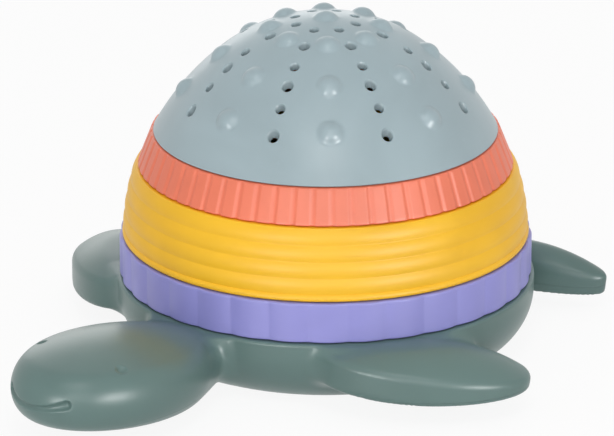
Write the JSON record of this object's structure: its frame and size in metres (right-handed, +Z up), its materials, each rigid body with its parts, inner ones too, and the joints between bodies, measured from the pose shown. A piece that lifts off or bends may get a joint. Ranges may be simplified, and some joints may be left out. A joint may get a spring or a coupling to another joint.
{
  "type": "turtle stacking toy",
  "caption": "Turtle-shaped stacking toy: a flippered base bowl with a smiling head, textured rings that seat one on another, and a pierced bumpy dome as the shell's top.",
  "frame": {"origin": "centre of the bowl's flat foot, on the shell axis", "axes": "+Z up along the shell axis, -Y towards the head, +X towards the turtle's left"},
  "size_m": [0.2164, 0.2521, 0.1275],
  "materials": {
    "base": "satin moulded green-grey plastic",
    "lower_ring": "satin moulded lavender plastic",
    "middle_ring": "satin moulded yellow plastic",
    "upper_ring": "satin moulded coral plastic",
    "dome": "satin moulded blue-grey plastic"
  },
  "bodies": {
    "base": {"turtle_base": "base"},
    "lower": {"lower_ring": "lower_ring"},
    "middle": {"middle_ring": "middle_ring"},
    "upper": {"upper_ring": "upper_ring"},
    "dome": {"shell_dome": "dome"}
  },
  "joints": [
    {"name": "lower_lift", "type": "slide", "parent": "base", "child": "lower", "axis": [0, 0, 1], "range_m": [0, 0.05]},
    {"name": "middle_lift", "type": "slide", "parent": "lower", "child": "middle", "axis": [0, 0, 1], "range_m": [0, 0.05]},
    {"name": "upper_lift", "type": "slide", "parent": "middle", "child": "upper", "axis": [0, 0, 1], "range_m": [0, 0.05]},
    {"name": "dome_lift", "type": "slide", "parent": "upper", "child": "dome", "axis": [0, 0, 1], "range_m": [0, 0.05]}
  ]
}
